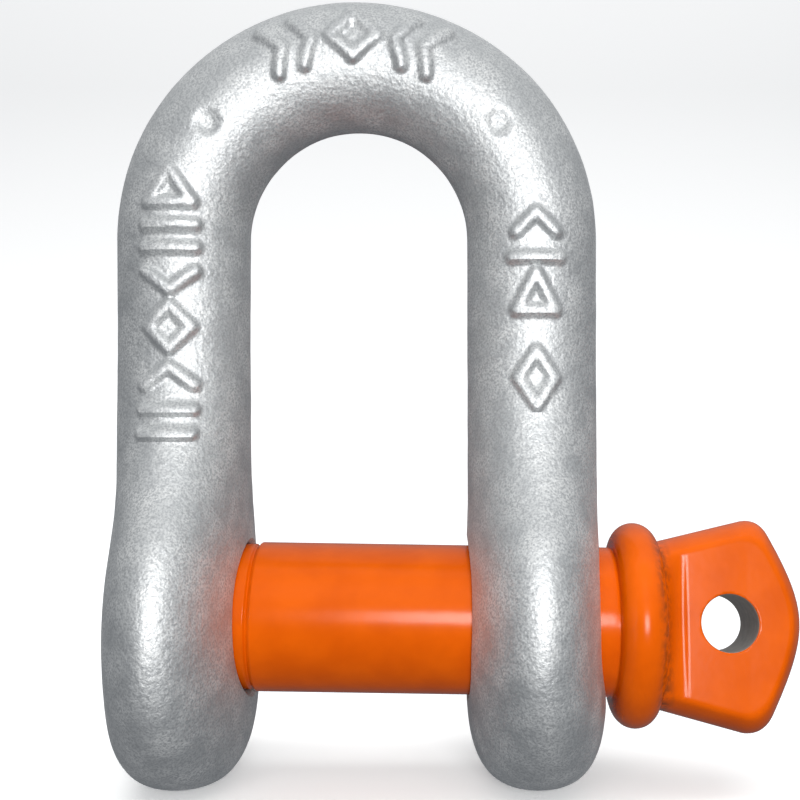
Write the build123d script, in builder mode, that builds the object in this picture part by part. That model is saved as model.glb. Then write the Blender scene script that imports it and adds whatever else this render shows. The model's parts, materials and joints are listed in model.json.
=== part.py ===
from build123d import *
import os
from math import cos, radians, sin, sqrt

# A forged screw-pin dee shackle of 7/8 in nominal size, in millimetres.
# The origin is on the pin's axis, midway between the ears. +X runs along the pin
# towards its head, +Z runs up to the crown, and -Y is the front.

# driving dimensions of the bow
BAR_D = 22.2  # round bar that the legs and the crown are made of
INSIDE_W = 37.9  # clear width between the legs
BEND_Z = 64.95  # height of the crown's bend centre above the pin's axis
EYE_R = 28.8  # radius of the ears, seen along the pin
EYE_T = 23.9  # thickness of the ears along the pin
EYE_INWARD = 0.9  # how far the ears swell into the gap between the legs
EYE_BLEND_R = 47.0  # hollow that runs from the ears' sides into the legs
EYE_END_Z = -9.0  # where the ears' lower ends begin to round off
EYE_END_POWER = 2.9  # of that rounding: 2 is an ellipse, more is squarer
SWELL_TOP_Z = 20.0  # where the legs begin to thicken into the ears
SWELL_LOW_Z = -3.5  # where they are as thick as they get
BORE_R = 13.6  # plain bore of the right ear
TAPPED_R = 12.9  # bore of the left ear, which holds the pin's thread
MOUTH_CHAMFER = 1.1  # countersink round each mouth of the two bores
DIMPLE_R = 2.4  # punched gauge marks on the shoulders
DIMPLE_DEPTH = 0.9
DIMPLE_ANGLE = 52.5  # of the gauge marks, from the crown's top towards each leg

# driving dimensions of the screw pin
PIN_D = 25.4
BACKED_OFF = 1.9  # gap between the collar and the right ear, with the pin as it stands
COLLAR_R = 17.4
COLLAR_W = 7.5
COLLAR_ROUND = 3.7
NECK_R = 14.4
THREAD_PITCH = 3.175
THREAD_R = 12.45  # over the thread's crests
ROOT_R = 10.95
CREST_W = 0.5
THREAD_SINK = 0.3  # how far the ridge's foot is sunk into the root
RELIEF_W = 0.7  # groove between the shank and the first turn of thread
SHANK_END_X = -17.3
SHANK_CHAMFER = 0.3
TIP_CHAMFER = 1.5
HEAD_TILT = 10.4  # turn of the head about the pin's axis, front face up
HEAD_T = 13.2  # thickness over the head's two flats
HEAD_W = 38.6  # width across the head's corners, before they are rounded
HEAD_ROOT_W = 31.4  # width of the flats where they leave the neck
TONGUE_W = 24.0  # width of the flats where they start inside the neck
NECK_SINK = 0.4  # how much slimmer the neck's square end is than the flats
FLAT_X = 55.8  # where the flats begin
CORNER_X = 68.2
NOSE_X = 76.2
HEAD_EDGE = 2.2  # rounding along the flats
HEAD_CORNER = 3.0
HOLE_X = 63.0
HOLE_R = 4.8
HOLE_RIM = 0.6

# dimensions that follow from those
BAR_R = BAR_D / 2
LEG_X = INSIDE_W / 2 + BAR_R  # centre of each leg
EYE_X = INSIDE_W / 2 - EYE_INWARD + EYE_T / 2  # centre of each ear
EYE_IN_X = EYE_X - EYE_T / 2  # inner face of the ears
EYE_OUT_X = EYE_X + EYE_T / 2  # outer face of the ears
PIN_R = PIN_D / 2
COLLAR_X = EYE_OUT_X + BACKED_OFF
NECK_X = COLLAR_X + COLLAR_W
TIP_X = BACKED_OFF - EYE_OUT_X  # flush with the left ear once the pin is home
BLEND_TOP_Z = sqrt((EYE_R + EYE_BLEND_R) ** 2 - (BAR_R + EYE_BLEND_R) ** 2)
BLEND_LOW_Z = BLEND_TOP_Z * EYE_R / (EYE_R + EYE_BLEND_R)


def eye_half_width(z):
    """Half of an ear's width, front to back: bar, then a hollow blend, then the round."""
    if z >= BLEND_TOP_Z:
        return BAR_R
    if z >= BLEND_LOW_Z:
        return BAR_R + EYE_BLEND_R - sqrt(EYE_BLEND_R**2 - (BLEND_TOP_Z - z) ** 2)
    return sqrt(EYE_R**2 - z**2)


def swell(z):
    """0 where the leg is still plain bar, 1 where the ear has its full thickness."""
    share = min(max((SWELL_TOP_Z - z) / (SWELL_TOP_Z - SWELL_LOW_Z), 0), 1)
    return share * share * (3 - 2 * share)


def eye_half_thickness(z):
    """Half of an ear's thickness along the pin, rounding off to nothing at its lower end."""
    half = BAR_R + (EYE_T / 2 - BAR_R) * swell(z)
    if z > EYE_END_Z:
        return half
    drop = (EYE_END_Z - z) / (EYE_R + EYE_END_Z)
    return half * (1 - drop**EYE_END_POWER) ** (1 / EYE_END_POWER)


def eye_centre(z):
    return LEG_X + (EYE_X - LEG_X) * swell(z)


# heights of the ears' sections: even down to the rounded end, then at even angles round it
SIDE_STEPS = 9
END_STEPS = 7
END_ANGLE = radians(82)
eye_heights = [
    BLEND_TOP_Z + (EYE_END_Z - BLEND_TOP_Z) * step / SIDE_STEPS for step in range(SIDE_STEPS)
]
eye_heights += [
    EYE_END_Z - (EYE_R + EYE_END_Z) * sin(END_ANGLE * step / END_STEPS)
    for step in range(END_STEPS + 1)
]

# Bow: one drop forging of round bar, bent to a dee, with an ear upset on each leg.
# The right ear is bored plain and the left ear is tapped for the pin's thread.
with BuildPart() as bow:
    with BuildLine(Plane.XZ) as centreline:
        right_leg = Line((LEG_X, BLEND_TOP_Z), (LEG_X, BEND_Z))
        crown = CenterArc((0, BEND_Z), LEG_X, 0, 180)
        left_leg = Line((-LEG_X, BEND_Z), (-LEG_X, BLEND_TOP_Z))
    with BuildSketch(Plane.XY.offset(BLEND_TOP_Z)) as bar_section:
        with Locations((LEG_X, 0)):
            Circle(BAR_R)
    sweep(path=centreline.line)
    for side in (-1, 1):
        for height in eye_heights:
            with BuildSketch(Plane.XY.offset(height)):
                with Locations((side * eye_centre(height), 0)):
                    Ellipse(eye_half_thickness(height), eye_half_width(height))
        loft()
    # plain bore on the right, tapping bore on the left, both along the pin's axis
    with BuildSketch(Plane.YZ):
        Circle(BORE_R)
    extrude(amount=2 * EYE_X, mode=Mode.SUBTRACT)
    with BuildSketch(Plane.YZ):
        Circle(TAPPED_R)
    extrude(amount=-2 * EYE_X, mode=Mode.SUBTRACT)
    # countersinks round the four mouths, cut where the ears are thickest
    for mouth_x, radius in (
        (EYE_IN_X, BORE_R),
        (EYE_OUT_X, BORE_R),
        (-EYE_IN_X, TAPPED_R),
        (-EYE_OUT_X, TAPPED_R),
    ):
        with BuildSketch(Plane.XZ):
            with BuildLine():
                Polyline(
                    (mouth_x - MOUTH_CHAMFER, radius),
                    (mouth_x + MOUTH_CHAMFER, radius),
                    (mouth_x, radius + MOUTH_CHAMFER),
                    close=True,
                )
            make_face()
        revolve(axis=Axis.X, mode=Mode.SUBTRACT)
    # the two gauge marks, shallow round dimples on the front of the shoulders
    for turn in (-DIMPLE_ANGLE, DIMPLE_ANGLE):
        with Locations((LEG_X * sin(radians(turn)), DIMPLE_DEPTH - BAR_R - DIMPLE_R,
                        BEND_Z + LEG_X * cos(radians(turn)))):
            Sphere(DIMPLE_R, mode=Mode.SUBTRACT)
bow.part.label = "bow"

# Head: the pin's end, forged flat, flared to two corners and rounded at the nose,
# with an eye for the spike that turns the pin. It is tilted about the pin's axis.
tilt = radians(HEAD_TILT)
flat_plane = Plane(origin=(0, 0, 0), x_dir=(1, 0, 0), z_dir=(0, -cos(tilt), sin(tilt)))


def cross_plane(x):
    """The plane square to the pin at x, with its own Y along the head's width."""
    return Plane(origin=(x, 0, 0), x_dir=(0, cos(tilt), -sin(tilt)), z_dir=(1, 0, 0))


with BuildPart() as head:
    # the flats, which start as a tongue inside the neck
    with BuildSketch(flat_plane) as outline:
        with BuildLine():
            lower_edge = Polyline(
                (CORNER_X, -HEAD_W / 2),
                (FLAT_X, -HEAD_ROOT_W / 2),
                (NECK_X, -TONGUE_W / 2),
            )
            Line(lower_edge @ 1, (NECK_X, TONGUE_W / 2))
            upper_edge = Polyline(
                (NECK_X, TONGUE_W / 2),
                (FLAT_X, HEAD_ROOT_W / 2),
                (CORNER_X, HEAD_W / 2),
            )
            ThreePointArc(upper_edge @ 1, (NOSE_X, 0), lower_edge @ 0)
        make_face()
        fillet(outline.vertices().group_by(Axis.X)[-1], HEAD_CORNER)
    extrude(amount=HEAD_T / 2, both=True)
    fillet(head.edges().filter_by(lambda edge: edge.center().X > FLAT_X), HEAD_EDGE)
    # neck, from the round behind the collar to the square end of the flats
    with BuildSketch(cross_plane(NECK_X - COLLAR_ROUND)):
        Circle(NECK_R)
    extrude(amount=COLLAR_ROUND)
    with BuildSketch(cross_plane(NECK_X)):
        Circle(NECK_R)
    with BuildSketch(cross_plane(FLAT_X)):
        RectangleRounded(HEAD_T - NECK_SINK, HEAD_ROOT_W - NECK_SINK, HEAD_EDGE)
    loft()
    with BuildSketch(flat_plane):
        with Locations((HOLE_X, 0)):
            Circle(HOLE_R)
    extrude(amount=HEAD_T, both=True, mode=Mode.SUBTRACT)
    circles = head.edges().filter_by(GeomType.CIRCLE)
    fillet(circles.filter_by(lambda rim: abs(rim.radius - HOLE_R) < 0.01), HOLE_RIM)

# Screw pin: one forging, turned and threaded, from the thread's tip to the flat head.
with BuildPart() as screw_pin:
    # shank, collar and neck, turned about the pin's axis
    with BuildSketch(Plane.XZ):
        with BuildLine():
            Polyline(
                (TIP_X, 0),
                (TIP_X, ROOT_R - TIP_CHAMFER),
                (TIP_X + TIP_CHAMFER, ROOT_R),
                (SHANK_END_X, ROOT_R),
                (SHANK_END_X, PIN_R - SHANK_CHAMFER),
                (SHANK_END_X + SHANK_CHAMFER, PIN_R),
                (COLLAR_X, PIN_R),
                (COLLAR_X, COLLAR_R - COLLAR_ROUND),
            )
            CenterArc((COLLAR_X + COLLAR_ROUND, COLLAR_R - COLLAR_ROUND), COLLAR_ROUND, 90, 90)
            Line((COLLAR_X + COLLAR_ROUND, COLLAR_R), (NECK_X - COLLAR_ROUND, COLLAR_R))
            CenterArc((NECK_X - COLLAR_ROUND, COLLAR_R - COLLAR_ROUND), COLLAR_ROUND, 0, 90)
            Polyline((NECK_X, COLLAR_R - COLLAR_ROUND), (NECK_X, 0), (TIP_X, 0))
        make_face()
    revolve(axis=Axis.X)
    # coarse thread, one ridge wound round the root
    thread_start = (TIP_X + TIP_CHAMFER + THREAD_PITCH / 2, 0, 0)
    thread_length = SHANK_END_X - RELIEF_W - THREAD_PITCH / 2 - thread_start[0]
    with BuildLine() as winding:
        Helix(THREAD_PITCH, thread_length, ROOT_R, center=thread_start, direction=(1, 0, 0))
    winding_start = winding.line @ 0
    outward = (winding_start - Vector(*thread_start)).normalized()
    flank = (THREAD_R - ROOT_R) / sqrt(3) + CREST_W / 2
    with BuildSketch(Plane(origin=winding_start, x_dir=outward, z_dir=winding.line % 0)):
        with BuildLine():
            Polyline(
                (-THREAD_SINK, flank),
                (0, flank),
                (THREAD_R - ROOT_R, CREST_W / 2),
                (THREAD_R - ROOT_R, -CREST_W / 2),
                (0, -flank),
                (-THREAD_SINK, -flank),
                (-THREAD_SINK, flank),
            )
        make_face()
    sweep(path=winding.line, is_frenet=True)
    add(head.part)
screw_pin.part.label = "screw_pin"

os.makedirs("parts", exist_ok=True)
export_step(bow.part, "parts/bow.step")
export_step(screw_pin.part, "parts/screw_pin.step")
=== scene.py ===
import json
import math

import bmesh
import bpy
import numpy as np
from mathutils import Matrix, Vector, noise


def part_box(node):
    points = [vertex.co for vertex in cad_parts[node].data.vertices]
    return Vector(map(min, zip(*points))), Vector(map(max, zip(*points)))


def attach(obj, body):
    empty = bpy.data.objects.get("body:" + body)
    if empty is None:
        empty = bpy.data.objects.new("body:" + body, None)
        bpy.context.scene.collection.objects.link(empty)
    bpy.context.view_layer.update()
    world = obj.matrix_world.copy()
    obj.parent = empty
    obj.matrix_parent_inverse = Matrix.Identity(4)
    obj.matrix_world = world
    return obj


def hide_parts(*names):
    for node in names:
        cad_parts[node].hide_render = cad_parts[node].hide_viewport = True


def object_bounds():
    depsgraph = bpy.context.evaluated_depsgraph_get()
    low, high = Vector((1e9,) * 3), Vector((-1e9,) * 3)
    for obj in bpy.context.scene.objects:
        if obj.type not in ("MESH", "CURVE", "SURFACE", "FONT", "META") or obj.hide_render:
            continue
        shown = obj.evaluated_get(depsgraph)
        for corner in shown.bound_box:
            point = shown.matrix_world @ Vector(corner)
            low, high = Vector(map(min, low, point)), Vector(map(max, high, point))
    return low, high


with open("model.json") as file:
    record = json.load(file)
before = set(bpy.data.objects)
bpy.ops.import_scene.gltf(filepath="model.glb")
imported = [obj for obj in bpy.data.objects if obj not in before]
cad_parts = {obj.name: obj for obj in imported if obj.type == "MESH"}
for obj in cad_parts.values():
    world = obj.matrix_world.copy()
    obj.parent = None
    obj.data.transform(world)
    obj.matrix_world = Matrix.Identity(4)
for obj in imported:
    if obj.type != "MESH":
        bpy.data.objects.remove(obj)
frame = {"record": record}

cad_low, cad_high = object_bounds()
mounts = {mount["name"]: mount for mount in frame["record"]["mounts"]}


# ---------------------------------------------------------------------------------------
# Bow: one drop forging of round carbon steel bar, bent to a dee, with an ear upset on each
# leg. The right ear is bored plain and the left ear is tapped for the pin. Its marks are
# raised by the die, and the whole bow is hot-dip galvanised after forging.

MM = 0.001  # the pieces are worked out in millimetres, and their meshes are in metres
bow_low, bow_high = (np.array(corner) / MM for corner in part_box("bow"))

BAR_R = 11.1  # the round bar of the legs and the crown
LEG_X = 30.05  # centre of each leg
CROWN_THIN = 0.2  # how much thinner the bar is at the crown, where it was stretched
LEFT_FULL = 0.15  # how much fuller the left leg was forged than the right
LEFT_FULL_Z = 24.0  # that fullness starts here, and takes as far again to be complete
LEFT_WAIST = 0.55  # how much the left leg narrows above its ear, on its outer side
WAIST_Z = 19.0
WAIST_SPREAD = 9.0
WAIST_SHIFT = 0.65  # share of the waist that moves the leg's middle towards the dee
WAIST_THIN = 0.35  # and the share that thins the leg
RIGHT_LEAN = 0.75  # how far the right ear's lower end leans away from the dee
LEFT_LEAN = -0.15  # and the left ear's, which leans towards it
LEAN_TOP_Z = -3.0
LEAN_RUN = 12.0  # drop over which an ear comes to its full lean
EYE_HALF_T = 11.95  # half of an ear's thickness along the pin
EYE_BLEND_R = 47.0  # hollow that runs from the ears' sides into the legs
EYE_END_Z = -9.0  # where the ears' lower ends begin to round off
EYE_END_POWER = 2.9  # of that rounding: 2 is an ellipse, more is squarer
SWELL_TOP_Z = 20.0  # where the legs begin to thicken into the ears
SWELL_LOW_Z = -3.5  # where they are as thick as they get
EYE_R = -bow_low[2]
EYE_X = bow_high[0] - EYE_HALF_T  # centre of each ear
BEND_Z = bow_high[2] - BAR_R - LEG_X  # height of the crown's bend centre
BLEND_TOP_Z = math.sqrt((EYE_R + EYE_BLEND_R) ** 2 - (BAR_R + EYE_BLEND_R) ** 2)
BLEND_LOW_Z = BLEND_TOP_Z * EYE_R / (EYE_R + EYE_BLEND_R)


def smooth(share):
    """0 below 0, 1 above 1 and an easy curve between."""
    share = np.clip(share, 0, 1)
    return share * share * (3 - 2 * share)


def eye_half_width(z):
    """Half of a leg's width, front to back: bar, then a hollow blend, then the round ear."""
    sunk = np.clip(BLEND_TOP_Z - z, 0, EYE_BLEND_R)
    blend = BAR_R + EYE_BLEND_R - np.sqrt(EYE_BLEND_R**2 - sunk**2)
    ear = np.sqrt(np.clip(EYE_R**2 - z**2, 0, None))
    return np.where(z > BLEND_LOW_Z, blend, ear)


def swell(z):
    """0 where the leg is still plain bar, 1 where the ear has its full thickness."""
    return smooth((SWELL_TOP_Z - z) / (SWELL_TOP_Z - SWELL_LOW_Z))


def eye_half_thickness(z):
    """Half of a leg's thickness along the pin, rounding off to nothing at its lower end."""
    half = BAR_R + (EYE_HALF_T - BAR_R) * swell(z)
    drop = np.clip((EYE_END_Z - z) / (EYE_R + EYE_END_Z), 0, 1)
    return half * (1 - drop**EYE_END_POWER) ** (1 / EYE_END_POWER)


def eye_centre(z, lean):
    return LEG_X + (EYE_X - LEG_X) * swell(z) + lean * smooth((LEAN_TOP_Z - z) / LEAN_RUN)


# the bow's stations, from the left ear's lower end over the crown to the right ear's: each
# has a middle, an outward direction in the dee's plane and two half sizes
end_turn = np.linspace(math.pi / 2, 0, 32, endpoint=False)[1:]
heights = np.concatenate([
    EYE_END_Z - (EYE_R + EYE_END_Z) * np.sin(end_turn),
    np.linspace(EYE_END_Z, 30, 56, endpoint=False),
    np.linspace(30, BEND_Z, 88, endpoint=False),
])
turns = np.linspace(-math.pi / 2, math.pi / 2, 224)
mirror = np.array((-1.0, 1.0))
waist = LEFT_WAIST * np.exp(-((heights - WAIST_Z) / WAIST_SPREAD) ** 2)
left_middle = np.stack([-eye_centre(heights, LEFT_LEAN) + WAIST_SHIFT * waist, heights], axis=-1)
right_middle = np.stack([eye_centre(heights, RIGHT_LEAN), heights], axis=-1)
leg_outward = np.tile((1.0, 0.0), (len(heights), 1))
crown_outward = np.stack([np.sin(turns), np.cos(turns)], axis=-1)
crown_middle = crown_outward * LEG_X + (0, BEND_Z)
middle = np.concatenate([left_middle, crown_middle, right_middle[::-1]])
outward = np.concatenate([leg_outward * mirror, crown_outward, leg_outward])
bar = BAR_R - CROWN_THIN * np.cos(turns) ** 2 + LEFT_FULL * np.clip(-np.sin(turns), 0, 1) ** 2
leg_full = LEFT_FULL * smooth((heights - LEFT_FULL_Z) / LEFT_FULL_Z) - WAIST_THIN * waist
deep = np.concatenate([
    eye_half_thickness(heights) + leg_full, bar, eye_half_thickness(heights[::-1]),
])
wide = np.concatenate([eye_half_width(heights), bar, eye_half_width(heights[::-1])])

AROUND = 144
FRONT_SHARE = 0.6  # below 1 the points crowd towards the front, where the marks are
even = np.arange(AROUND) / AROUND * 2 - 1
spin = math.pi * (FRONT_SHARE * even + (1 - FRONT_SHARE) * even**3)
out_part = np.sin(spin)[None, :]
front_part = np.cos(spin)[None, :]


def in_frame(along_outward, along_front):
    """Directions from their parts along each station's outward and along -Y."""
    return np.stack([
        along_outward * outward[:, :1],
        -along_front,
        along_outward * outward[:, 1:],
    ], axis=-1)


rings = in_frame(out_part * deep[:, None], front_part * wide[:, None])
rings += np.stack([middle[:, 0], 0 * middle[:, 0], middle[:, 1]], axis=-1)[:, None, :]
facing = in_frame(out_part / deep[:, None], front_part / wide[:, None])
facing /= np.linalg.norm(facing, axis=-1, keepdims=True)

# raised marks: plain signs of straight strokes, where the maker's and size marks stand.
# Each sign is drawn in a square from -1 to 1, across the bar and then along it.
BAR = ((-1, 0), (1, 0))
CHEVRON = ((-1, -0.55), (0, 0.55), (1, -0.55))
LOZENGE = ((0, -1), (0.85, 0), (0, 1), (-0.85, 0), (0, -1))
WEDGE = ((-0.9, -0.8), (0, 0.9), (0.9, -0.8), (-0.9, -0.8))
STROKE_HALF_W = 0.95
STROKE_EDGE = 1.1  # width of the strokes' sloping sides
RELIEF = 1.0
CROWN_OFFSET = 2.6  # of the crown's marks, out from the middle of the bar

# each mark: its sign, its place along the bar, and its half sizes across and along it
left_marks = [
    (BAR, 32.2, 4.0, 1.0),
    (BAR, 36.0, 4.0, 1.0),
    (CHEVRON, 41.6, 4.0, 2.8),
    (LOZENGE, 49.6, 4.0, 3.6),
    (CHEVRON, 57.2, 4.0, -2.8),
    (BAR, 62.6, 4.0, 1.0),
    (BAR, 66.4, 4.0, 1.0),
    (WEDGE, 72.6, 4.0, 3.2),
]
right_marks = [
    (LOZENGE, 41.2, 3.4, 4.4),
    (WEDGE, 55.2, 3.4, 3.6),
    (BAR, 61.0, 3.8, 1.0),
    (CHEVRON, 66.8, 3.2, 2.9),
]
crown_marks = [
    (CHEVRON, -12.0, 3.9, 1.9),
    (CHEVRON, -7.4, 3.9, 1.9),
    (LOZENGE, 0.0, 4.2, 3.6),
    (CHEVRON, 7.4, 3.9, -1.9),
    (CHEVRON, 12.0, 3.9, -1.9),
]
SWELLS = 0.10  # height of the forged skin's broad unevenness
SWELL_SIZE = 14.0
PEBBLES = 0.035  # and of its fine one
PEBBLE_SIZE = 3.5
DIMPLE_R = 2.3  # two punched gauge marks on the shoulders
DIMPLE_DEPTH = 0.75
DIMPLE_TURN = math.radians(52.5)  # from the crown's top towards each leg


def stroke_distance(across, along, marks):
    """Distance in mm from each point to the nearest stroke of the marks."""
    nearest = np.full(across.shape, 99.0)
    for sign, place, half_across, half_along in marks:
        points = [(a * half_across, place + b * half_along) for a, b in sign]
        for (a0, b0), (a1, b1) in zip(points, points[1:]):
            run = (a1 - a0) ** 2 + (b1 - b0) ** 2
            share = ((across - a0) * (a1 - a0) + (along - b0) * (b1 - b0)) / run
            share = np.clip(share, 0, 1)
            off = np.hypot(across - a0 - share * (a1 - a0), along - b0 - share * (b1 - b0))
            nearest = np.minimum(nearest, off)
    return nearest


def unevenness(points, grain, seed):
    """Soft noise from -1 to 1 at each point in mm, with swells about grain mm across."""
    drift = Vector((seed, seed * 0.37, -seed * 0.61))
    values = [noise.noise(Vector(point) / grain + drift) for point in points.reshape(-1, 3)]
    return np.array(values).reshape(points.shape[:-1])


x, z = rings[..., 0], rings[..., 2]
reach = np.hypot(x, z - BEND_Z) - LEG_X
arc = np.arctan2(x, z - BEND_Z) * LEG_X
gap = stroke_distance(x + LEG_X, z, left_marks)
gap = np.minimum(gap, stroke_distance(x - LEG_X, z, right_marks))
gap = np.minimum(gap, np.where(z > BEND_Z, stroke_distance(reach - CROWN_OFFSET, arc, crown_marks), gap))
lift = RELIEF * smooth((STROKE_HALF_W + STROKE_EDGE / 2 - gap) / STROKE_EDGE)
for side in (-1, 1):
    dimple_x = side * LEG_X * math.sin(DIMPLE_TURN)
    dimple_z = BEND_Z + LEG_X * math.cos(DIMPLE_TURN)
    gap = np.hypot(x - dimple_x, z - dimple_z) / DIMPLE_R
    lift = lift - DIMPLE_DEPTH * smooth(1.25 - gap)
lift = lift * smooth(front_part / 0.3)
lift += SWELLS * unevenness(rings, SWELL_SIZE, 3.1)
lift += PEBBLES * unevenness(rings, PEBBLE_SIZE, 8.4)
rings += facing * lift[..., None]


def skin(name, rings, start, end):
    """A closed body through rings of points in mm, with a fan of faces at each end."""
    count, around = rings.shape[:2]
    points = np.vstack([rings.reshape(-1, 3), start, end]) * MM
    ring, step = np.meshgrid(np.arange(count - 1), np.arange(around), indexing="ij")
    after = (step + 1) % around
    corners = (ring, step), (ring + 1, step), (ring + 1, after), (ring, after)
    faces = np.stack([r * around + s for r, s in corners], axis=-1).reshape(-1, 4).tolist()
    last = (count - 1) * around
    for s in range(around):
        n = (s + 1) % around
        faces.append((count * around, s, n))
        faces.append((count * around + 1, last + n, last + s))
    mesh = bpy.data.meshes.new(name)
    mesh.from_pydata(points.tolist(), [], faces)
    shaping = bmesh.new()
    shaping.from_mesh(mesh)
    bmesh.ops.recalc_face_normals(shaping, faces=shaping.faces)
    shaping.to_mesh(mesh)
    shaping.free()
    made = bpy.data.objects.new(name, mesh)
    bpy.context.scene.collection.objects.link(made)
    return made


def cut(piece, cutter):
    """Takes the cutter's body out of the piece for good."""
    modifier = piece.modifiers.new("cut", "BOOLEAN")
    modifier.operation = "DIFFERENCE"
    modifier.solver = "EXACT"
    modifier.object = cutter
    bpy.context.view_layer.update()
    shaped = piece.evaluated_get(bpy.context.evaluated_depsgraph_get())
    mesh = bpy.data.meshes.new_from_object(shaped)
    piece.modifiers.clear()
    piece.data = mesh
    bpy.data.objects.remove(cutter)


bow = skin(
    "bow_forging", rings,
    (-EYE_X - LEFT_LEAN, 0, -EYE_R), (EYE_X + RIGHT_LEAN, 0, -EYE_R),
)

# bores: the cutters' rings follow the ears' domed faces, so that each rim is broken evenly
BORE_R = 13.6
TAPPED_R = 12.9
TAPPED_CREST_R = 12.6
THREAD_PITCH = 3.175
RIM_SIDE = 0.35  # width of the broken rim at the front and back
RIM_TOP = 0.6  # and above and below the pin
OVERRUN = 3.0
bore_spin = np.linspace(0, 2 * math.pi, 120, endpoint=False)


def bore_rings(radius, ridge, steps, lean):
    """Rings of the cutter for an ear at +X, from its inner face to its outer one."""
    y, z = radius * np.cos(bore_spin), radius * np.sin(bore_spin)
    rim = RIM_SIDE + (RIM_TOP - RIM_SIDE) * np.sin(bore_spin) ** 2
    dome = eye_half_thickness(z) * np.sqrt(1 - (y / eye_half_width(z)) ** 2)
    inner, outer = eye_centre(z, lean) - dome, eye_centre(z, lean) + dome
    made = [(inner - OVERRUN, radius + rim + OVERRUN), (inner + rim, radius + 0 * rim)]
    for share in np.linspace(0, 1, steps + 2)[1:-1]:
        at = inner + rim + (outer - inner - 2 * rim) * share
        turn = at / THREAD_PITCH + bore_spin / (2 * math.pi)
        tooth = np.abs(turn % 1 - 0.5) * 2
        fade = smooth(share * 10) * smooth((1 - share) * 10)
        made.append((at, radius - ridge * smooth(tooth * 2 - 0.9) * fade))
    made += [(outer - rim, radius + 0 * rim), (outer + OVERRUN, radius + rim + OVERRUN)]
    return np.stack([
        np.stack([at, r * np.cos(bore_spin), r * np.sin(bore_spin)], axis=-1) for at, r in made
    ])


for side, radius, ridge, steps, lean in (
    (1, BORE_R, 0.0, 4, RIGHT_LEAN),
    (-1, TAPPED_R, TAPPED_R - TAPPED_CREST_R, 72, LEFT_LEAN),
):
    bore = bore_rings(radius, ridge, steps, lean) * (side, 1, 1)
    ends = bore[:, :, 0].mean(axis=1)
    cut(bow, skin("cutter", bore, (ends[0], 0, 0), (ends[-1], 0, 0)))
bow.data.shade_smooth()
bow.data.set_sharp_from_angle(angle=math.radians(38))


def linear(sheen):
    """An sRGB hex colour as linear RGBA."""
    parts = [int(sheen[i:i + 2], 16) / 255 for i in (1, 3, 5)]
    return [c / 12.92 if c <= 0.04045 else ((c + 0.055) / 1.055) ** 2.4 for c in parts] + [1]


def node(tree, kind, inputs, **settings):
    """Adds a node with its settings. inputs maps a socket to a value or to an output."""
    made = tree.nodes.new(kind)
    for setting, value in settings.items():
        setattr(made, setting, value)
    for socket, value in inputs.items():
        if isinstance(value, bpy.types.NodeSocket):
            tree.links.new(value, made.inputs[socket])
        else:
            made.inputs[socket].default_value = value
    return made


def new_material(name):
    """A material whose tree is empty but for its output, with that tree and output."""
    made = bpy.data.materials.new(name)
    made.use_nodes = True
    made.node_tree.nodes.clear()
    return made, made.node_tree, node(made.node_tree, "ShaderNodeOutputMaterial", {})


# Hot-dip galvanised steel: zinc on a forged skin. It is a pale grey metal, too rough to
# mirror anything, with a fine pebble that glints, and softer clouds where it froze last.
galvanised, tree, output = new_material("hot_dip_galvanised_steel")
PEBBLE = 0.9 * MM
CLOUD = 5.0 * MM
GRAIN = 0.35 * MM
place = node(tree, "ShaderNodeTexCoord", {}).outputs["Object"]
pebble = node(tree, "ShaderNodeTexNoise", {"Vector": place, "Scale": 1 / PEBBLE, "Detail": 2.0})
grain = node(tree, "ShaderNodeTexNoise", {"Vector": place, "Scale": 1 / GRAIN, "Detail": 1.0})
cloud = node(tree, "ShaderNodeTexNoise", {"Vector": place, "Scale": 1 / CLOUD, "Detail": 4.0})
tone = node(tree, "ShaderNodeMapRange", {
    "Value": cloud.outputs["Fac"], "From Min": 0.35, "From Max": 0.65,
})
colour = node(tree, "ShaderNodeMix", {
    "Factor": tone.outputs["Result"], 6: linear("#CFD1D1"), 7: linear("#E4E5E4"),
}, data_type="RGBA")
fleck = node(tree, "ShaderNodeMapRange", {
    "Value": grain.outputs["Fac"], "From Min": 0.35, "From Max": 0.6,
})
speckled = node(tree, "ShaderNodeMix", {
    "Factor": fleck.outputs["Result"], 6: linear("#BDBFC0"), 7: colour.outputs[2],
}, data_type="RGBA")
rough = node(tree, "ShaderNodeMapRange", {
    "Value": cloud.outputs["Fac"], "From Min": 0.3, "From Max": 0.7, "To Min": 0.56, "To Max": 0.66,
})
fine = node(tree, "ShaderNodeBump", {
    "Height": grain.outputs["Fac"], "Strength": 0.35, "Distance": 0.1 * MM,
})
bumps = node(tree, "ShaderNodeBump", {
    "Height": pebble.outputs["Fac"], "Strength": 0.6, "Distance": 0.25 * MM,
    "Normal": fine.outputs["Normal"],
})
shader = node(tree, "ShaderNodeBsdfPrincipled", {
    "Base Color": speckled.outputs[2],
    "Metallic": 0.9,
    "Roughness": rough.outputs["Result"],
    "Normal": bumps.outputs["Normal"],
})
tree.links.new(shader.outputs["BSDF"], output.inputs["Surface"])
bow.data.materials.clear()
bow.data.materials.append(galvanised)
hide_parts("bow")
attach(bow, "bow")


# ---------------------------------------------------------------------------------------
# Screw pin: one steel forging, turned and threaded, with a round collar and a flat head
# that has an eye for the spike that turns it. It is dipped in gloss orange enamel, and
# the eye's wall is bare steel.

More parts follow.
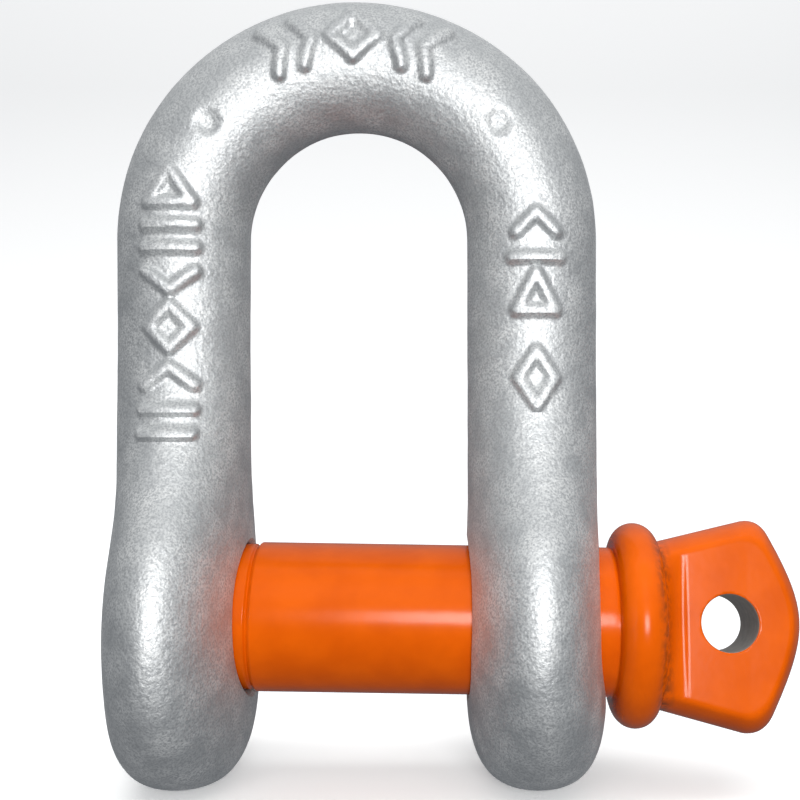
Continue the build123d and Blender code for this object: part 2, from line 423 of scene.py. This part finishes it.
pin_low, pin_high = (np.array(corner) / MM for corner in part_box("screw_pin"))
spike = mounts["spike_hole"]
PIN_R = mounts["load_pin"]["dims"]["r_mm"]
TIP_X = pin_low[0]
NOSE_X = pin_high[0]
TIP_CHAMFER = 1.5
ROOT_R = 10.95
CREST_R = 12.4
CREST_HALF_W = 0.3
THREAD_END_X = -19.6  # where the last turn runs out into a plain band
THREAD_FADE = 1.6  # length over which it does so
SHANK_X = -17.0  # where the shank begins, after a small groove
COLLAR_X = 43.75  # the collar's face towards the ear
COLLAR_R = 17.45
COLLAR_ROUND = 3.75  # of the collar's bullnosed edge
NECK_R = 14.2
NECK_FLATNESS = 0.72  # of its front and back, beside the collar
FLAT_X = 55.8  # where the head's flats begin
SIDE_SLOPE = 0.255  # how the head flares from the neck to its corners
HEAD_HALF_T = 6.6
HEAD_DRAFT = 2.8  # how far the head's sides slope out, from the flats to the die's parting
DRAFT_ROUND = 0.6  # 0 for straight sides with a crisp edge, 1 for fully rounded ones
CREASE = 0.5  # softness of that edge
TROUGH = 0.45  # depth of the hollow between the neck and the flats
TROUGH_SKEW = 1.6  # above 1, that hollow is deepest nearer the flats than the neck
NECK_FADE = 2.2  # above 1, the neck's round section gives way sooner to the flats
NOSE_FLAT = 6.3  # mm of the nose's blunt middle, between two nearly straight sides
NOSE_SLOPE = 0.62  # of those sides
CORNER_BLEND = 3.6
CORNER_X = 66.0  # beyond it the nose was trimmed a little high, by this slope
NOSE_LIFT = 0.09
SAG_ANGLE = math.radians(0.9)  # the slack pin sags by this much in its clearance
SAG_X = -7.0  # place along the pin that stays on the bores' axis
HEAD_DROP = 0.45  # how far the forged collar and head sit below the turned shank's axis
PIN_AROUND = 208

turn = math.asin(spike["axis"][2])  # of the head about the pin, front face up
front = np.array((0, -math.cos(turn), math.sin(turn)))
upward = np.array((0, math.sin(turn), math.cos(turn)))
pin_spin = np.arange(PIN_AROUND) / PIN_AROUND * 2 * math.pi

# turned profile as (x, radius): threaded end, groove, shank and collar
profile = [(TIP_X, ROOT_R - TIP_CHAMFER - 0.3), (TIP_X + 0.15, ROOT_R - TIP_CHAMFER)]
profile += [(at, CREST_R) for at in np.arange(TIP_X + 0.4, THREAD_END_X, 0.24)]
profile += [(at, CREST_R) for at in np.linspace(THREAD_END_X, SHANK_X - 1.1, 8)]
groove = np.linspace(-1, 1, 11)
profile += [(SHANK_X - 0.5 + 0.5 * at, CREST_R - 0.2 * (1 + math.cos(at * math.pi))) for at in groove]
profile += [(SHANK_X + 0.06, PIN_R - 0.12), (SHANK_X + 0.16, PIN_R - 0.04), (SHANK_X + 0.3, PIN_R)]
profile += [(at, PIN_R) for at in np.linspace(SHANK_X + 0.6, COLLAR_X - 0.5, 70)]
profile += [(COLLAR_X - 0.2, PIN_R), (COLLAR_X - 0.06, PIN_R + 0.03), (COLLAR_X, PIN_R + 0.15)]
for swing in np.linspace(0, math.pi - 0.27, 40):
    at = COLLAR_X + COLLAR_ROUND * (1 - math.cos(swing))
    profile.append((at, COLLAR_R - COLLAR_ROUND * (1 - math.sin(swing))))
NECK_X = profile[-1][0] + 0.15

turned = []
for at, radius in profile:
    r = np.full(PIN_AROUND, radius)
    if at < THREAD_END_X:
        # coarse right-hand thread with flat crests, fading into the band
        wound = at / THREAD_PITCH - pin_spin / (2 * math.pi)
        off_crest = np.abs(wound % 1 - 0.5) * THREAD_PITCH - CREST_HALF_W
        r = np.clip(CREST_R - np.clip(off_crest, 0, None) * math.sqrt(3), ROOT_R, CREST_R)
        fade = smooth((THREAD_END_X - at) / THREAD_FADE)
        r = CREST_R + (r - CREST_R) * fade
        r = np.minimum(r, radius)
        r = np.minimum(r, ROOT_R - TIP_CHAMFER + (at - TIP_X) * 1.1)
    across = np.sin(pin_spin)[:, None] * front + np.cos(pin_spin)[:, None] * upward
    turned.append(across * r[:, None] + (at, 0, 0))


def soft_min(a, b, blend):
    """The smaller of two lengths, rounded over where they are about the same."""
    share = np.clip(0.5 + 0.5 * (b - a) / blend, 0, 1)
    return b + (a - b) * share - blend * share * (1 - share)


def edge_distance(at, height):
    """How far inside the head's outline a point is, in mm."""
    bend = np.sqrt(NOSE_FLAT**2 + (NOSE_SLOPE * height) ** 2)
    lean = NOSE_SLOPE**2 * height / bend
    from_nose = (NOSE_X - at - bend + NOSE_FLAT) / np.sqrt(1 + lean**2)
    from_side = (NECK_R + SIDE_SLOPE * (at - NECK_X) - height) / math.hypot(1, SIDE_SLOPE)
    return soft_min(from_nose, from_side, CORNER_BLEND)


QUARTER = PIN_AROUND // 4
quarter_turn = np.linspace(0, math.pi / 2, 500)


def head_ring(at):
    """One section of the neck and head: a quarter from its side to its front, mirrored."""
    heights = np.linspace(0, 22, 800)
    half_w = np.interp(0, -edge_distance(at, heights), heights)
    height = half_w * np.cos(quarter_turn)
    inside = np.clip(edge_distance(at, height) / HEAD_DRAFT, 0, None)
    rounded = np.sqrt(1 - np.clip(1 - inside, 0, 1) ** 2)
    slope = inside + (rounded - inside) * DRAFT_ROUND
    flat = soft_min(HEAD_HALF_T * slope, HEAD_HALF_T + 0 * slope, CREASE)
    flat = np.where(inside > 1.5, HEAD_HALF_T, flat)
    share = np.clip((at - NECK_X) / (FLAT_X - NECK_X), 0, 1)
    roundness = (1 - share) ** NECK_FADE
    neck = half_w * np.sin(quarter_turn) * (NECK_FLATNESS + (1 - NECK_FLATNESS) * np.cos(quarter_turn) ** 2)
    depth = flat + (neck - flat) * roundness
    depth -= TROUGH * np.sin(math.pi * share**TROUGH_SKEW) * np.sin(quarter_turn) ** 2
    depth, height = np.append(0, depth), np.append(half_w, height)
    run = np.append(0, np.cumsum(np.hypot(np.diff(depth), np.diff(height))))
    stops = np.linspace(0, run[-1], QUARTER + 1)
    depth, height = np.interp(stops, run, depth), np.interp(stops, run, height)
    depth = np.concatenate([depth[:-1], depth[:0:-1], -depth[:-1], -depth[:0:-1]])
    height = np.concatenate([height[:-1], -height[:0:-1], -height[:-1], height[:0:-1]])
    return depth[:, None] * front + height[:, None] * upward + (at, 0, 0)


neck_stops = NECK_X + (FLAT_X - NECK_X) * np.linspace(0, 1, 26, endpoint=False)
flat_stops = np.linspace(FLAT_X, NOSE_X - 9, 28, endpoint=False)
nose_stops = NOSE_X - 9 * np.linspace(1, 0.02, 70) ** 2
stops = np.concatenate([neck_stops, flat_stops, nose_stops])
pin_rings = np.array(turned + [head_ring(at) for at in stops])
pin_rings[:, :, 2] += NOSE_LIFT * np.clip(pin_rings[:, :1, 0] - CORNER_X, 0, None)
pin_rings[:, :, 2] -= HEAD_DROP * smooth((pin_rings[:, :1, 0] - COLLAR_X + 0.4) / 0.6)
pin = skin("pin_forging", pin_rings, (TIP_X, 0, 0), (NOSE_X, 0, 0))

# the spike's eye, drilled through the flats, with its rims a little rounded
HOLE_R = spike["dims"]["r_mm"]
HOLE_X = spike["pos_m"][0] / MM
HOLE_RIM = 0.5
hole_profile = [(-(HEAD_HALF_T + 2), HOLE_R + HOLE_RIM + 0.5)]
rim_turn = np.radians(np.linspace(82, 0, 8))
rim = [
    (HEAD_HALF_T - HOLE_RIM * (1 - math.sin(a)), HOLE_R + HOLE_RIM * (1 - math.cos(a)))
    for a in rim_turn
]
hole_profile += [(-s, r) for s, r in rim] + rim[::-1]
hole_profile += [(HEAD_HALF_T + 2, HOLE_R + HOLE_RIM + 0.5)]
hole_spin = np.linspace(0, 2 * math.pi, 96, endpoint=False)
hole_rings = np.array([
    r * (np.cos(hole_spin)[:, None] * np.array((1, 0, 0)) + np.sin(hole_spin)[:, None] * upward)
    + front * s + (HOLE_X, 0, 0)
    for s, r in hole_profile
])
hole_ends = [front * s + (HOLE_X, 0, 0) for s in (hole_profile[0][0], hole_profile[-1][0])]
cut(pin, skin("cutter", hole_rings, *hole_ends))
droop = Matrix.Rotation(SAG_ANGLE, 4, "Y")
to_pivot = Matrix.Translation((SAG_X * MM, 0, 0))
pin.data.shade_smooth()
pin.data.set_sharp_from_angle(angle=math.radians(40))

# Gloss orange enamel, dipped: a saturated colour under a clear gloss, with a slight
# orange peel, sags where it ran, and painted shade darkening the corner behind the collar.
enamel, tree, output = new_material("gloss_orange_enamel")
PEEL = 1.6 * MM
SAG = 7.0 * MM
# the patch size of the painted shade, and how far it reaches from the corner behind the collar
SHADE_PATCH = 1.2 * MM
SHADE_REACH = 2.2 * MM
place = node(tree, "ShaderNodeTexCoord", {}).outputs["Object"]
peel = node(tree, "ShaderNodeTexNoise", {"Vector": place, "Scale": 1 / PEEL, "Detail": 1.0})
sag = node(tree, "ShaderNodeTexNoise", {"Vector": place, "Scale": 1 / SAG, "Detail": 3.0})
tone = node(tree, "ShaderNodeMapRange", {
    "Value": sag.outputs["Fac"], "From Min": 0.35, "From Max": 0.65,
})
paint = node(tree, "ShaderNodeMix", {
    "Factor": tone.outputs["Result"], 6: linear("#CA5101"), 7: linear("#D45802"),
}, data_type="RGBA")
seam = node(tree, "ShaderNodeSeparateXYZ", {"Vector": place})
# painted shade: the paint is darkened in patches in the corner behind the collar
from_seam = node(tree, "ShaderNodeMath", {0: seam.outputs["X"], 1: NECK_X * MM}, operation="SUBTRACT")
off_seam = node(tree, "ShaderNodeMath", {0: from_seam.outputs[0]}, operation="ABSOLUTE")
band = node(tree, "ShaderNodeMapRange", {
    "Value": off_seam.outputs[0], "From Min": 0.2 * MM, "From Max": SHADE_REACH,
    "To Min": 0.75, "To Max": 0.0,
})
shade_noise = node(tree, "ShaderNodeTexNoise", {"Vector": place, "Scale": 1 / SHADE_PATCH, "Detail": 4.0})
patches = node(tree, "ShaderNodeMapRange", {
    "Value": shade_noise.outputs["Fac"], "From Min": 0.4, "From Max": 0.62,
})
painted_shade = node(tree, "ShaderNodeMath", {
    0: band.outputs["Result"], 1: patches.outputs["Result"],
}, operation="MULTIPLY")
# painted shade: in that corner the paint is mixed towards a dark brown
shaded_paint = node(tree, "ShaderNodeMix", {
    "Factor": painted_shade.outputs[0], 6: paint.outputs[2], 7: linear("#5A3419"),
}, data_type="RGBA")
bumps = node(tree, "ShaderNodeBump", {
    "Height": peel.outputs["Fac"], "Strength": 0.25, "Distance": 0.05 * MM,
})
shader = node(tree, "ShaderNodeBsdfPrincipled", {
    "Base Color": shaded_paint.outputs[2],
    "Roughness": 0.2,
    "Specular IOR Level": 0.14,
    "Normal": bumps.outputs["Normal"],
})
tree.links.new(shader.outputs["BSDF"], output.inputs["Surface"])

# Bare drilled steel in the eye: warm grey and dull, mottled where it has begun to rust.
RUST = 1.2 * MM
drilled, tree, output = new_material("bare_drilled_steel")
place = node(tree, "ShaderNodeTexCoord", {}).outputs["Object"]
rust = node(tree, "ShaderNodeTexNoise", {"Vector": place, "Scale": 1 / RUST, "Detail": 4.0})
steel = node(tree, "ShaderNodeMix", {
    "Factor": rust.outputs["Fac"], 6: linear("#8E8880"), 7: linear("#C4BEB6"),
}, data_type="RGBA")
shader = node(tree, "ShaderNodeBsdfPrincipled", {
    "Base Color": steel.outputs[2], "Metallic": 0.5, "Roughness": 0.45,
})
tree.links.new(shader.outputs["BSDF"], output.inputs["Surface"])

pin.data.materials.clear()
pin.data.materials.append(enamel)
pin.data.materials.append(drilled)
for face in pin.data.polygons:
    off = np.array(face.center) / MM - (HOLE_X, 0, 0)
    if np.linalg.norm(off - front * (off @ front)) < HOLE_R + 0.1:
        face.material_index = 1
pin.data.transform(to_pivot @ droop @ to_pivot.inverted())
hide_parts("screw_pin")
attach(pin, "screw_pin")


# ---------------------------------------------------------------------------------------
# Floor: one sheet of matt white acrylic, faintly lit from behind, that curves up behind the
# shackle, which stands on its two ears.

SWEEP_R = 0.5
floor_line = [(-1.6, 0.0), (0.9, 0.0)]
floor_line += [
    (0.9 + SWEEP_R * math.sin(a), SWEEP_R * (1 - math.cos(a)))
    for a in np.linspace(0, math.pi / 2, 25)[1:]
]
floor_line += [(0.9 + SWEEP_R, 2.2)]
sheet = bmesh.new()
for y, z in floor_line:
    for x in (-2.4, 2.4):
        sheet.verts.new((x, y, z + cad_low[2]))
sheet.verts.ensure_lookup_table()
for i in range(0, 2 * len(floor_line) - 2, 2):
    sheet.faces.new([sheet.verts[j] for j in (i, i + 1, i + 3, i + 2)])
floor_mesh = bpy.data.meshes.new("floor")
sheet.to_mesh(floor_mesh)
sheet.free()
floor_mesh.shade_smooth()
floor = bpy.data.objects.new("floor", floor_mesh)
bpy.context.scene.collection.objects.link(floor)
floor.visible_glossy = False
floor.visible_diffuse = False
pale, tree, output = new_material("backlit_white_acrylic")
shader = node(tree, "ShaderNodeBsdfPrincipled", {
    "Base Color": linear("#F6F6F5"), "Roughness": 0.9, "Specular IOR Level": 0.1,
    "Emission Color": linear("#FFFFFF"), "Emission Strength": 0.22,
})
tree.links.new(shader.outputs["BSDF"], output.inputs["Surface"])
floor_mesh.materials.append(pale)


# ---------------------------------------------------------------------------------------
# Light: a small soft key close behind the camera, a fill above it and a panel over the
# backdrop. The surround is paler above than below. Only the key and the surround reflect.

def panel(name, place, target, width, height, brightness):
    """A soft rectangular light that faces the target."""
    light = bpy.data.lights.new(name, "AREA")
    light.shape = "RECTANGLE"
    light.size = width
    light.size_y = height
    light.energy = brightness * math.pi * width * height
    made = bpy.data.objects.new(name, light)
    bpy.context.scene.collection.objects.link(made)
    made.location = place
    made.rotation_euler = (Vector(target) - Vector(place)).to_track_quat("-Z", "Y").to_euler()
    return made


object_middle = (cad_low + cad_high) / 2
panel("key_panel", (0.05, -0.36, 0.075), object_middle, 0.12, 0.10, 31.0)
fill = panel("fill_panel", (0.05, -0.70, 0.75), object_middle, 0.60, 0.50, 1.6)
fill.visible_glossy = False
backdrop = panel("backdrop_panel", (0.0, 0.10, 1.6), (0.0, 1.2, 0.2), 2.4, 0.8, 3.0)
backdrop.visible_glossy = False

world = bpy.data.worlds.new("studio")
bpy.context.scene.world = world
world.use_nodes = True
tree = world.node_tree
tree.nodes.clear()
output = node(tree, "ShaderNodeOutputWorld", {})
direction = node(tree, "ShaderNodeTexCoord", {}).outputs["Generated"]
split = node(tree, "ShaderNodeSeparateXYZ", {"Vector": direction})
rise = node(tree, "ShaderNodeMapRange", {
    "Value": split.outputs["Z"], "From Min": 0.05, "From Max": 0.85,
})
sky = node(tree, "ShaderNodeMix", {
    "Factor": rise.outputs["Result"], 6: linear("#74777C"), 7: linear("#E6E8EA"),
}, data_type="RGBA")
background = node(tree, "ShaderNodeBackground", {"Color": sky.outputs[2], "Strength": 1.0})
tree.links.new(background.outputs["Background"], output.inputs["Surface"])
bpy.context.scene.view_settings.view_transform = "Standard"


# ---------------------------------------------------------------------------------------
# Camera: level with the middle of the legs and close to the shackle, looking along +Y.

camera_data = bpy.data.cameras.new("camera")
camera_data.sensor_width = 36.0
camera_data.lens = 51.9
camera_data.shift_x = -0.0643
camera_data.clip_start = 0.01
camera_data.clip_end = 20.0
camera = bpy.data.objects.new("camera", camera_data)
bpy.context.scene.collection.objects.link(camera)
camera.location = (0.01616, -0.200, 0.03757)
camera.rotation_euler = (math.pi / 2, 0, 0)
bpy.context.scene.camera = camera
